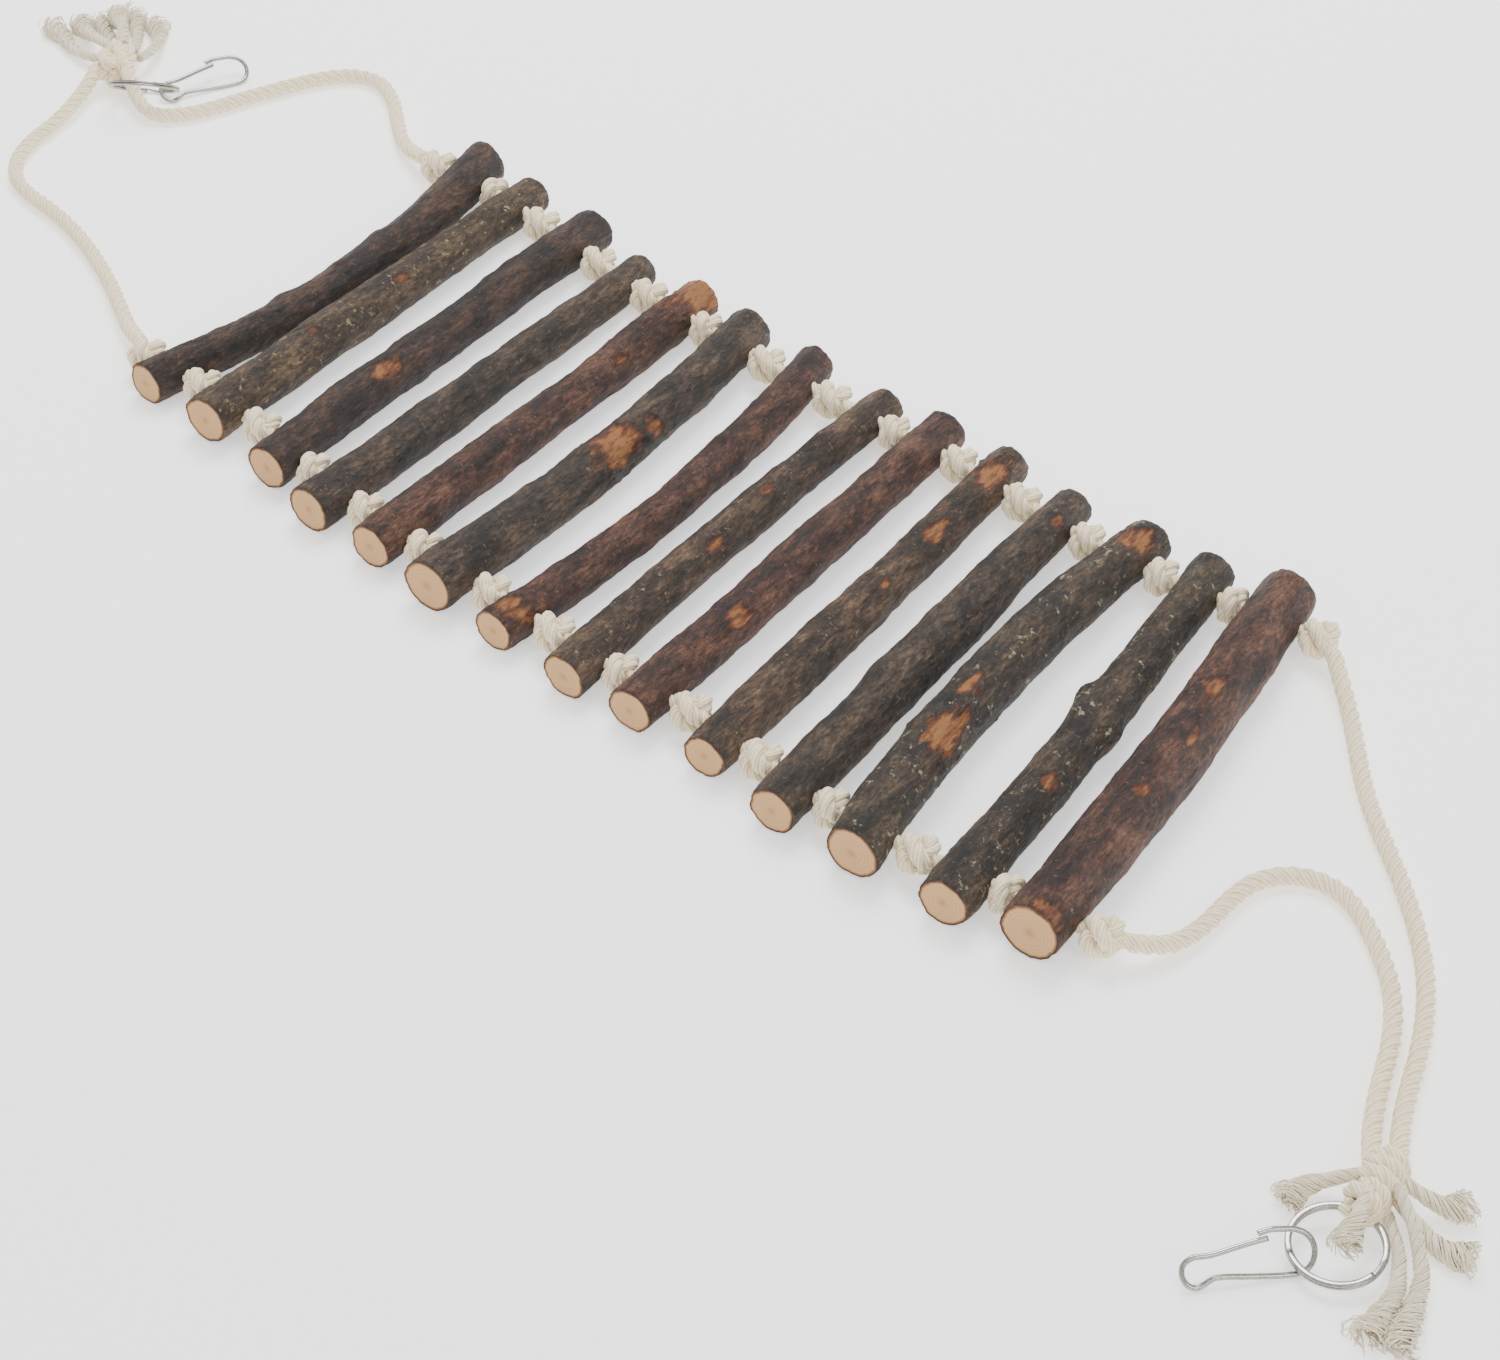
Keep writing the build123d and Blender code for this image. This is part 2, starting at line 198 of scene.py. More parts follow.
def make_sawn_wood():
    """Branch wood sawn across: pale, with growth rings, a darker heart and a rim of bark."""
    material, tree = blank_material("sawn_branch_wood")
    place = add(tree, "ShaderNodeTexCoord").outputs["Object"]
    pith = add(tree, "ShaderNodeAttribute", attribute_name="pith_mm").outputs["Fac"]
    rim = add(tree, "ShaderNodeAttribute", attribute_name="rim").outputs["Fac"]
    wander = add(tree, "ShaderNodeTexNoise", {
        "Vector": place, "Scale": 220, "Detail": 3}).outputs["Fac"]
    reach = add(tree, "ShaderNodeMath", {0: wander, 1: 1.6, 2: pith},
                operation="MULTIPLY_ADD").outputs[0]
    turns = add(tree, "ShaderNodeMath", {0: reach, 1: 2 * math.pi / GROWTH_RING_MM},
                operation="MULTIPLY").outputs[0]
    rings = add(tree, "ShaderNodeMath", {0: turns}, operation="SINE").outputs[0]
    ring_mask = add(tree, "ShaderNodeMapRange", {
        "Value": rings, "From Min": -0.2, "From Max": 1, "To Min": 0, "To Max": 0.24}).outputs[0]
    base = ramp(tree, rim, [
        (0.0, "#a87c50"), (0.25, "#bf966a"), (0.84, "#c29a6c"), (0.91, "#7a5232"),
        (0.96, "#38251a")])
    colour = mixed(tree, ring_mask, base, linear("#98704a"))
    kerf = add(tree, "ShaderNodeTexNoise", {
        "Vector": place, "Scale": 2500, "Detail": 2}).outputs["Fac"]
    return finish_material(material, tree, {
        "Base Color": colour, "Roughness": 0.8, "Specular IOR Level": 0.3}, kerf, 0.0001, 0.5)


YARNS, YARN_PITCH = 7.0, 0.0035  # yarns seen round a strand, and their repeat along it


def make_cotton(name, crest, shaded_groove, sheen):
    """Unbleached cotton: matt twisted yarns, creamy on top and warmer between them, where the
    darker colour is painted shade.
    """
    material, tree = blank_material(name)
    place = add(tree, "ShaderNodeTexCoord").outputs["Object"]
    around = add(tree, "ShaderNodeAttribute", attribute_name="around").outputs["Vector"]
    along = add(tree, "ShaderNodeAttribute", attribute_name="along").outputs["Fac"]
    parts = add(tree, "ShaderNodeSeparateXYZ", {0: around}).outputs
    angle = add(tree, "ShaderNodeMath", {0: parts[1], 1: parts[0]}, operation="ARCTAN2").outputs[0]
    # the yarns are drawn coarser than real ones, and slant against the lay
    yarns = add(tree, "ShaderNodeMath", {0: angle, 1: YARNS}, operation="MULTIPLY").outputs[0]
    slant = add(tree, "ShaderNodeMath", {0: along, 1: -2 * math.pi / YARN_PITCH, 2: yarns},
                operation="MULTIPLY_ADD").outputs[0]
    stripes = add(tree, "ShaderNodeMath", {0: slant}, operation="SINE").outputs[0]
    fluff = add(tree, "ShaderNodeTexNoise", {
        "Vector": place, "Scale": 1600, "Detail": 4, "Roughness": 0.7}).outputs["Fac"]
    height = add(tree, "ShaderNodeMath", {0: stripes, 1: 0.25, 2: fluff},
                 operation="MULTIPLY_ADD").outputs[0]
    # the colour follows the yarns' height: the groove colour, darker and warmer, is painted shade
    # between the yarns
    colour = ramp(tree, height, [(0.2, shaded_groove), (0.62, crest)])
    return finish_material(material, tree, {
        "Base Color": colour, "Roughness": 0.92, "Specular IOR Level": 0.2, "Sheen Weight": sheen,
        "Sheen Roughness": 0.5}, height, 0.00025, 0.55)


def make_nickel():
    """Nickel-plated steel wire: bright, a little warm, with fine drawing marks."""
    material, tree = blank_material("nickel_plated_steel_wire")
    place = add(tree, "ShaderNodeTexCoord").outputs["Object"]
    marks = add(tree, "ShaderNodeTexNoise", {
        "Vector": place, "Scale": 1400, "Detail": 3}).outputs["Fac"]
    roughness = add(tree, "ShaderNodeMapRange", {
        "Value": marks, "To Min": 0.1, "To Max": 0.26}).outputs[0]
    tint = ramp(tree, marks, [(0.3, "#8b8781"), (0.7, "#aba8a2")])
    return finish_material(material, tree, {
        "Base Color": tint, "Metallic": 1.0, "Roughness": roughness}, marks, 0.00003, 0.3)


def make_floor():
    """Pale matt paper that gives a little light itself, so that the shadows stay pale."""
    material, tree = blank_material("pale_paper")
    place = add(tree, "ShaderNodeTexCoord").outputs["Object"]
    fibre = add(tree, "ShaderNodeTexNoise", {
        "Vector": place, "Scale": 300, "Detail": 2}).outputs["Fac"]
    tint = ramp(tree, fibre, [(0.3, "#f3f3f4"), (0.7, "#f7f7f8")])
    return finish_material(material, tree, {
        "Base Color": tint, "Roughness": 0.9, "Emission Color": linear("#ffffff"),
        "Emission Strength": 0.75})


# the dark, middle and light bark, the lichen, and how much of it there is
BARKS = {
    "black": make_bark("near_black_bark", "#19110d", "#3a271f", "#604434", "#77675a", 0.15),
    "olive": make_bark("olive_brown_bark", "#2b2117", "#503e2c", "#765f45", "#a09269", 0.6),
    "grey": make_bark("dark_grey_bark", "#211a14", "#43352a", "#6a5643", "#8f8268", 0.32),
    "red": make_bark("red_brown_bark", "#2a1610", "#523022", "#7c5440", "#8f7a60", 0.3),
    "brown": make_bark("grey_brown_bark", "#2a1f16", "#4f3b2b", "#7a6048", "#988b6c", 0.45),
    "flecked": make_bark("lichened_dark_bark", "#1f1811", "#403328", "#66543f", "#a9a286", 0.55),
}
SAWN_WOOD = make_sawn_wood()
# the second colour of each cotton is painted shade, laid in the grooves between its yarns
COTTON = make_cotton("unbleached_laid_cotton", "#f8ebcf", "#d8c092", 0.25)
FRAYED_COTTON = make_cotton("frayed_unlaid_cotton", "#fff5dc", "#f5e4bb", 0.6)
NICKEL = make_nickel()

FLOOR_REACH = 4
floor_data = bpy.data.meshes.new("floor")
floor_data.from_pydata(
    [(x * FLOOR_REACH, y * FLOOR_REACH, 0) for x, y in ((-1, -1), (1, -1), (1, 1), (-1, 1))],
    [], [(0, 1, 2, 3)])
floor_data.materials.append(make_floor())
floor = put("floor", floor_data)

world = bpy.data.worlds.new("studio")
world.use_nodes = True
sky = world.node_tree.nodes["Background"].inputs
sky["Color"].default_value = linear("#ffffff")
sky["Strength"].default_value = 1.12
bpy.context.scene.world = world


# ---- node trees that lay rope and fray strands ----------------------------------------
def new_tree(name, sockets):
    """A node tree from paths to a mesh, and its inputs: the paths and the sockets given."""
    tree = bpy.data.node_groups.new(name, "GeometryNodeTree")
    tree.is_modifier = True
    tree.interface.new_socket("Paths", in_out="INPUT", socket_type="NodeSocketGeometry")
    for socket_name, kind in sockets:
        tree.interface.new_socket(socket_name, in_out="INPUT", socket_type=kind)
    tree.interface.new_socket("Mesh", in_out="OUTPUT", socket_type="NodeSocketGeometry")
    return tree, add(tree, "NodeGroupInput").outputs


def offset_from_path(tree, angle, reach):
    """A vector of the length reach, square to the path, at an angle round it."""
    tangent = add(tree, "GeometryNodeInputTangent").outputs[0]
    normal = add(tree, "GeometryNodeInputNormal").outputs[0]
    third = add(tree, "ShaderNodeVectorMath", {0: tangent, 1: normal},
                operation="CROSS_PRODUCT").outputs[0]
    cosine = add(tree, "ShaderNodeMath", {0: angle}, operation="COSINE").outputs[0]
    sine = add(tree, "ShaderNodeMath", {0: angle}, operation="SINE").outputs[0]
    first = add(tree, "ShaderNodeVectorMath", {0: normal, "Scale": cosine},
                operation="SCALE").outputs[0]
    second = add(tree, "ShaderNodeVectorMath", {0: third, "Scale": sine},
                 operation="SCALE").outputs[0]
    both = add(tree, "ShaderNodeVectorMath", {0: first, 1: second}, operation="ADD").outputs[0]
    return add(tree, "ShaderNodeVectorMath", {0: both, "Scale": reach},
               operation="SCALE").outputs[0]


def sweep_strands(tree, curves, radius, sides, material):
    """Round strands along the curves, with what the cotton reads: around and along."""
    length = add(tree, "GeometryNodeSplineParameter").outputs["Length"]
    marked = add(tree, "GeometryNodeStoreNamedAttribute", {
        "Geometry": curves, "Name": "along", "Value": length}, data_type="FLOAT",
        domain="POINT").outputs[0]
    circle = add(tree, "GeometryNodeCurvePrimitiveCircle", {
        "Resolution": sides, "Radius": radius}).outputs[0]
    part = add(tree, "GeometryNodeSplineParameter").outputs["Factor"]
    turn = add(tree, "ShaderNodeMath", {0: part, 1: 2 * math.pi}, operation="MULTIPLY").outputs[0]
    cosine = add(tree, "ShaderNodeMath", {0: turn}, operation="COSINE").outputs[0]
    sine = add(tree, "ShaderNodeMath", {0: turn}, operation="SINE").outputs[0]
    heading = add(tree, "ShaderNodeCombineXYZ", {"X": cosine, "Y": sine}).outputs[0]
    profile = add(tree, "GeometryNodeStoreNamedAttribute", {
        "Geometry": circle, "Name": "around", "Value": heading}, data_type="FLOAT_VECTOR",
        domain="POINT").outputs[0]
    tube = add(tree, "GeometryNodeCurveToMesh", {
        "Curve": marked, "Profile Curve": profile, "Fill Caps": True}).outputs[0]
    smooth = add(tree, "GeometryNodeSetShadeSmooth", {0: tube}).outputs[0]
    whole = add(tree, "GeometryNodeRealizeInstances", {0: smooth}).outputs[0]
    painted = add(tree, "GeometryNodeSetMaterial", {
        "Geometry": whole, "Material": material}).outputs[0]
    add(tree, "NodeGroupOutput", {0: painted})


STRAND_PLACE, STRAND_RADIUS = 0.225, 0.27  # shares of the rope's diameter
STRAND_SIDES, FIBRE_SIDES, FIBRE_POINTS = 10, 4, 26


def make_laid_rope_tree():
    """Lays strands round each path, a full turn in every lay length."""
    tree, given = new_tree("laid_rope", [
        ("Diameter", "NodeSocketFloat"), ("Lay", "NodeSocketFloat"), ("Strands", "NodeSocketInt"),
        ("Step", "NodeSocketFloat"), ("Material", "NodeSocketMaterial")])
    curves = add(tree, "GeometryNodeMeshToCurve", {0: given["Paths"]}).outputs[0]
    even = add(tree, "GeometryNodeResampleCurve", {
        "Curve": curves, "Length": given["Step"]}, mode="LENGTH").outputs[0]
    untwisted = add(tree, "GeometryNodeSetCurveNormal", {"Curve": even},
                    mode="MINIMUM_TWIST").outputs[0]
    copies = add(tree, "GeometryNodeDuplicateElements", {
        "Geometry": untwisted, "Amount": given["Strands"]}, domain="SPLINE")
    share = add(tree, "ShaderNodeMath", {
        0: copies.outputs["Duplicate Index"], 1: given["Strands"]}, operation="DIVIDE").outputs[0]
    length = add(tree, "GeometryNodeSplineParameter").outputs["Length"]
    turns = add(tree, "ShaderNodeMath", {0: length, 1: given["Lay"]}, operation="DIVIDE").outputs[0]
    total = add(tree, "ShaderNodeMath", {0: share, 1: turns}, operation="ADD").outputs[0]
    angle = add(tree, "ShaderNodeMath", {0: total, 1: 2 * math.pi}, operation="MULTIPLY").outputs[0]
    reach = add(tree, "ShaderNodeMath", {0: given["Diameter"], 1: STRAND_PLACE},
                operation="MULTIPLY").outputs[0]
    laid = add(tree, "GeometryNodeSetPosition", {
        "Geometry": copies.outputs["Geometry"],
        "Offset": offset_from_path(tree, angle, reach)}).outputs[0]
    radius = add(tree, "ShaderNodeMath", {0: given["Diameter"], 1: STRAND_RADIUS},
                 operation="MULTIPLY").outputs[0]
    sweep_strands(tree, laid, radius, STRAND_SIDES, given["Material"])
    return tree


def make_frayed_tree():
    """Many thin fibres along each path, twisted together at first and loose at the end."""
    tree, given = new_tree("frayed_strand", [
        ("Fibres", "NodeSocketInt"), ("Strand radius", "NodeSocketFloat"),
        ("Spread", "NodeSocketFloat"), ("Fibre radius", "NodeSocketFloat"),
        ("Lay", "NodeSocketFloat"), ("Seed", "NodeSocketInt"), ("Material", "NodeSocketMaterial")])
    curves = add(tree, "GeometryNodeMeshToCurve", {0: given["Paths"]}).outputs[0]
    even = add(tree, "GeometryNodeResampleCurve", {"Curve": curves, "Count": FIBRE_POINTS},
               mode="COUNT").outputs[0]
    untwisted = add(tree, "GeometryNodeSetCurveNormal", {"Curve": even},
                    mode="MINIMUM_TWIST").outputs[0]
    copies = add(tree, "GeometryNodeDuplicateElements", {
        "Geometry": untwisted, "Amount": given["Fibres"]}, domain="SPLINE")
    number = copies.outputs["Duplicate Index"]
    draws = []
    for offset in range(4):
        seed = add(tree, "ShaderNodeMath", {0: given["Seed"], 1: offset},
                   operation="ADD").outputs[0]
        draws.append(add(tree, "FunctionNodeRandomValue", {"ID": number, "Seed": seed},
                         data_type="FLOAT").outputs[1])
    spline = add(tree, "GeometryNodeSplineParameter").outputs
    turns = add(tree, "ShaderNodeMath", {0: spline["Length"], 1: given["Lay"]},
                operation="DIVIDE").outputs[0]
    total = add(tree, "ShaderNodeMath", {0: draws[0], 1: turns}, operation="ADD").outputs[0]
    angle = add(tree, "ShaderNodeMath", {0: total, 1: 2 * math.pi}, operation="MULTIPLY").outputs[0]
    opening = add(tree, "ShaderNodeMath", {0: spline["Factor"], 1: 3.0},
                  operation="POWER").outputs[0]
    loose = add(tree, "ShaderNodeMath", {
        0: opening, 1: given["Spread"], 2: given["Strand radius"]},
                operation="MULTIPLY_ADD").outputs[0]
    depth = add(tree, "ShaderNodeMath", {0: draws[1]}, operation="SQRT").outputs[0]
    reach = add(tree, "ShaderNodeMath", {0: depth, 1: loose}, operation="MULTIPLY").outputs[0]
    spread = add(tree, "GeometryNodeSetPosition", {
        "Geometry": copies.outputs["Geometry"],
        "Offset": offset_from_path(tree, angle, reach)}).outputs[0]
    # a slow wave sets each loose fibre apart from its neighbours
    place = add(tree, "GeometryNodeInputPosition").outputs[0]
    wave = add(tree, "ShaderNodeTexNoise", {
        "Vector": place, "W": draws[2], "Scale": 190, "Detail": 1},
               noise_dimensions="4D").outputs["Color"]
    centred = add(tree, "ShaderNodeVectorMath", {0: wave, 1: (0.5, 0.5, 0.5)},
                  operation="SUBTRACT").outputs[0]
    amount = add(tree, "ShaderNodeMath", {0: opening, 1: 7 * MM}, operation="MULTIPLY").outputs[0]
    shift = add(tree, "ShaderNodeVectorMath", {0: centred, "Scale": amount},
                operation="SCALE").outputs[0]
    waved = add(tree, "GeometryNodeSetPosition", {"Geometry": spread, "Offset": shift}).outputs[0]
    finish = add(tree, "ShaderNodeMath", {0: draws[3], 1: 0.3, 2: 0.7},
                 operation="MULTIPLY_ADD").outputs[0]
    cut = add(tree, "GeometryNodeTrimCurve", {"Curve": waved, "End": finish},
              mode="FACTOR").outputs[0]
    # nothing lies below the floor: the lowest fibres rest on it
    low = add(tree, "GeometryNodeInputPosition").outputs[0]
    parts = add(tree, "ShaderNodeSeparateXYZ", {0: low}).outputs
    lifted = add(tree, "ShaderNodeMath", {0: parts[2], 1: 0.2 * MM},
                 operation="MAXIMUM").outputs[0]
    rested = add(tree, "ShaderNodeCombineXYZ", {
        "X": parts[0], "Y": parts[1], "Z": lifted}).outputs[0]
    lying = add(tree, "GeometryNodeSetPosition", {"Geometry": cut, "Position": rested}).outputs[0]
    sweep_strands(tree, lying, given["Fibre radius"], FIBRE_SIDES, given["Material"])
    return tree


def grow(name, tree, paths, sizes):
    """Runs a tree on open paths and returns the plain mesh that it makes."""
    points, edges = [], []
    for path in paths:
        first = len(points)
        points += [tuple(point) for point in path]
        edges += [(i, i + 1) for i in range(first, len(points) - 1)]
    mesh = bpy.data.meshes.new(name)
    mesh.from_pydata(points, edges, [])
    holder = put(name + "_paths", mesh)
    modifier = holder.modifiers.new("grow", "NODES")
    modifier.node_group = tree
    for item in tree.interface.items_tree:
        if item.in_out == "INPUT" and item.name in sizes:
            modifier[item.identifier] = sizes[item.name]
    depsgraph = bpy.context.evaluated_depsgraph_get()
    result = bpy.data.meshes.new_from_object(holder.evaluated_get(depsgraph))
    holder.modifiers.remove(modifier)
    bpy.data.objects.remove(holder)
    return result


LAID_ROPE = make_laid_rope_tree()
FRAYED = make_frayed_tree()
ROPE = {"Diameter": 6 * MM, "Lay": 13 * MM, "Strands": 3, "Step": 0.9 * MM, "Material": COTTON}
KNOT_ROPE = {**ROPE, "Diameter": 5.3 * MM, "Lay": 12 * MM, "Step": 0.7 * MM}


def dress(name, mesh, body, slot, *nodes):
    """Puts a piece on its body, in place of the CAD nodes it stands for."""
    piece = put(name, mesh)
    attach(piece, body)
    if nodes:
        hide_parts(*nodes)
    return piece


# ---- rungs --------------------------------------------------------------------------
# x, y: middle of the rung, mm; fan: turn about Z, degrees; the diameters at the right end,
# the middle and the left end; how far the middle bows towards +X; and the bark
RUNGS = [
    (-196, 25, -3, 15.5, 15, 17.5, 11, "black"), (-166, 20, -1, 18.5, 17, 14.5, 0.5, "olive"),
    (-131.5, 13, -1, 17, 16.5, 17, -2, "black"), (-104, 4, -1.5, 17.5, 15.5, 13.5, 1, "grey"),
    (-75, 1, -1.5, 17, 16, 16, 1, "red"), (-47, -5, -0.5, 20, 17.5, 17, 5, "grey"),
    (-17, -8, -0.5, 15.5, 14, 15.5, 7, "red"), (16, -13, -1, 16.5, 15, 14, -1.5, "brown"),
    (42, -14, -0.5, 17, 17, 15.5, 0.5, "red"), (71.5, -17, 0.5, 16.5, 16.5, 15, 1, "brown"),
    (101.5, -25, 1, 17, 18, 15, 0.5, "grey"), (132, -27, 1, 19, 19.5, 17, -6, "flecked"),
    (161, -28, 3.5, 17.5, 16.5, 16, 1.5, "flecked"), (188, -25, 4, 20.5, 21, 19.5, 2.5, "red"),
]
RUNG_LENGTH = 180
# what each branch has on it: kind, place along it from the right end, degrees round it
# from +X over the top, then length and width in mm and how far it stands out
FEATURES = {
    1: [("bump", 0.35, 150, 7, 6, 1.2), ("bump", 0.62, 130, 8, 6, 1.0),
        ("ridge", 0.5, 0, 4, 0, 0.5)],
    2: [("scar", 0.55, 60, 4, 3, 0.4), ("scar", 0.3, 80, 3, 2, 0.3),
        ("bump", 0.75, 40, 9, 7, 0.8)],
    3: [("ridge", 0.42, 0, 4, 0, 0.9), ("scar", 0.33, 65, 8, 4, 0.5),
        ("ridge", 0.7, 0, 4, 0, 0.5)],
    4: [("bump", 0.5, 110, 9, 7, 1.0), ("bump", 0.25, 50, 8, 6, 0.7),
        ("ridge", 0.62, 0, 4, 0, 0.5)],
    5: [("scar", 0.975, 70, 15, 16, 1.0), ("bump", 0.14, 20, 9, 8, 1.6),
        ("scar", 0.7, 50, 4, 3, 0.4)],
    6: [("scar", 0.5, 62, 13, 10, 0.9), ("scar", 0.6, 40, 5, 5, 0.5),
        ("bump", 0.45, 95, 14, 10, 0.9)],
    7: [("bump", 0.4, 60, 8, 6, 0.9), ("ridge", 0.66, 0, 4, 0, 0.7),
        ("scar", 0.04, 80, 6, 9, 0.4)],
    8: [("scar", 0.42, 55, 5, 3, 0.5), ("scar", 0.6, 80, 4, 3, 0.4),
        ("bump", 0.8, 100, 9, 7, 1.1)],
    9: [("scar", 0.28, 50, 6, 5, 0.5), ("ridge", 0.5, 0, 4, 0, 0.5),
        ("bump", 0.85, 70, 10, 8, 0.9)],
    10: [("scar", 0.7, 70, 9, 4, 0.7), ("scar", 0.91, 75, 11, 6, 0.8),
         ("scar", 0.52, 60, 4, 2, 0.3)],
    11: [("bump", 0.37, 115, 10, 8, 1.8), ("ridge", 0.55, 0, 5, 0, 0.5),
         ("scar", 0.9, 60, 4, 3, 0.3)],
    12: [("scar", 0.3, 62, 12, 7, 0.9), ("scar", 0.42, 88, 9, 3, 0.5),
         ("scar", 0.94, 75, 8, 9, 0.6),
         ("bump", 0.63, 100, 12, 9, 1.0)],
    13: [("bump", 0.56, 150, 7, 6, 2.2), ("bump", 0.5, 15, 8, 7, 1.8),
         ("scar", 0.31, 60, 4, 4, 0.4),
         ("ridge", 0.52, 0, 6, 0, 0.8)],
    14: [("scar", 0.34, 75, 5, 3, 0.4), ("scar", 0.5, 60, 6, 2, 0.3),
         ("scar", 0.64, 85, 7, 3, 0.3),
         ("scar", 0.015, 60, 4, 6, 0.3), ("bump", 0.8, 60, 12, 9, 0.8)],
}
SMALL_BUMPS = 7  # on every branch, besides the features above
LOWEST = 0.05  # no bark lies lower than this over the floor, in mm
STATIONS, FACETS, FACE_RINGS = 170, 72, 7  # points along, round and across a sawn face


def rung_diameter(rung, s):
    """The thickness in mm at a share s of the way from the right end to the left one."""
    right, middle, left = rung[3:6]
    if s < 0.5:
        return right + (middle - right) * 2 * s
    return middle + (left - middle) * (2 * s - 1)


def rung_spine(rung, s):
    """A point on the rung's axis, in mm, and the way across it."""
    x, y, fan = rung[:3]
    along = (s - 0.5) * RUNG_LENGTH
    bow = rung[6] * 4 * s * (1 - s)
    turn = math.radians(fan)
    across = Vector((math.cos(turn), math.sin(turn), 0))
    lengthwise = Vector((-across.y, across.x, 0))
    return Vector((x, y, rung_diameter(rung, s) / 2)) + across * bow + lengthwise * along, across


def bark_relief(number, features, s, degrees, radius):
    """How far the bark stands out at a place, in mm, and how bare the wood is there."""
    turn = math.radians(degrees)
    along = s * RUNG_LENGTH
    here = Vector((math.cos(turn) * radius, along * 0.4, math.sin(turn) * radius))
    seed = Vector((number * 37.3, number * 11.9, 0))  # each branch has a bark of its own
    relief = 0.9 * noise.noise(here * 0.08 + seed) + 0.5 * noise.noise(here * 0.25 + seed)
    relief += 0.3 * noise.noise(here * 0.7 + seed) + 0.14 * noise.noise(here * 1.6 + seed) - 0.2
    bare = 0.0
    for kind, place, round_at, length, width, height in features:
        away = along - place * RUNG_LENGTH
        side = (degrees - round_at + 180) % 360 - 180
        sideways = math.radians(side) * radius
        if kind == "ridge":
            unevenness = 0.6 + 0.4 * noise.noise(here * 0.2)
            relief += height * math.exp(-(away / length) ** 2) * unevenness
            continue
        size = (away / length) ** 2 + (sideways / width) ** 2
        if kind == "bump":
            relief += height * math.exp(-2 * size)
            continue
        ragged = size * (1 + 0.9 * noise.noise(here * 0.45 + seed)
                         + 0.5 * noise.noise(here * 1.1 + seed))
        # small scars have not lost all their bark; each has a swollen lip round a hollow
        bare = max(bare, min(1, max(0, 1.2 - ragged)) * (0.72 + 0.28 * min(1, length / 10)))
        relief += 0.5 * height * math.exp(-6 * (ragged - 1.1) ** 2)
        relief -= height * math.exp(-3 * ragged * ragged)
    return relief, bare


def make_rung_mesh(number, rung):
    """A barked branch with two sawn faces. Rings of points run from pith to pith."""
    features = FEATURES[number] + [
        ("bump", (0.09 + 0.137 * k + 0.05 * math.sin(number * 2.1 + k)) % 0.9 + 0.04,
         (number * 61 + k * 137) % 360, 4 + k % 3 * 2, 3 + k % 2 * 2, 0.35 + 0.09 * (k % 4))
        for k in range(SMALL_BUMPS)]
    points, bare, pith, rim, faces, sawn = [], [], [], [], [], []
    rings = [(0, k / FACE_RINGS) for k in range(1, FACE_RINGS + 1)]
    rings += [(i / STATIONS, 1) for i in range(1, STATIONS)]
    rings += [(1, k / FACE_RINGS) for k in range(FACE_RINGS, 0, -1)]
    for s, share in rings:
        centre, across = rung_spine(rung, s)
        radius = rung_diameter(rung, s) / 2
        worn = 0.3 * math.exp(-min(s, 1 - s) * RUNG_LENGTH / 0.8)  # the sawn edges are worn
        for k in range(FACETS):
            degrees = k * 360 / FACETS
            turn = math.radians(degrees)
            out = across * math.cos(turn) + Vector((0, 0, math.sin(turn)))
            relief, bareness = bark_relief(number, features, s, degrees, radius)
            reach = (radius + relief - worn) * share
            point = centre + out * reach
            point.z = max(point.z, LOWEST)
            points.append(point * MM)
            bare.append(bareness)
            pith.append(reach)
            rim.append(share)
    for i in range(len(rings) - 1):
        for k in range(FACETS):
            a, b = i * FACETS + k, i * FACETS + (k + 1) % FACETS
            faces.append((a, a + FACETS, b + FACETS, b))
            sawn.append(rings[i][0] == rings[i + 1][0])
    for s, ring in ((0, 0), (1, len(rings) - 1)):
        points.append(rung_spine(rung, s)[0] * MM)
        bare.append(0)
        pith.append(0)
        rim.append(0)
        hub = len(points) - 1
        for k in range(FACETS):
            a, b = ring * FACETS + k, ring * FACETS + (k + 1) % FACETS
            faces.append((hub, a, b) if ring == 0 else (hub, b, a))
            sawn.append(True)
    mesh = bpy.data.meshes.new(f"rung_{number:02d}_branch")
    mesh.from_pydata([tuple(p) for p in points], [], faces)
    mesh.materials.append(BARKS[rung[7]])
    mesh.materials.append(SAWN_WOOD)
    for polygon, on_face in zip(mesh.polygons, sawn):
        polygon.material_index = int(on_face)
        polygon.use_smooth = not on_face
    for attribute, values in (("bare", bare), ("pith_mm", pith), ("rim", rim)):
        mesh.attributes.new(attribute, "FLOAT", "POINT").data.foreach_set("value", values)
    return mesh


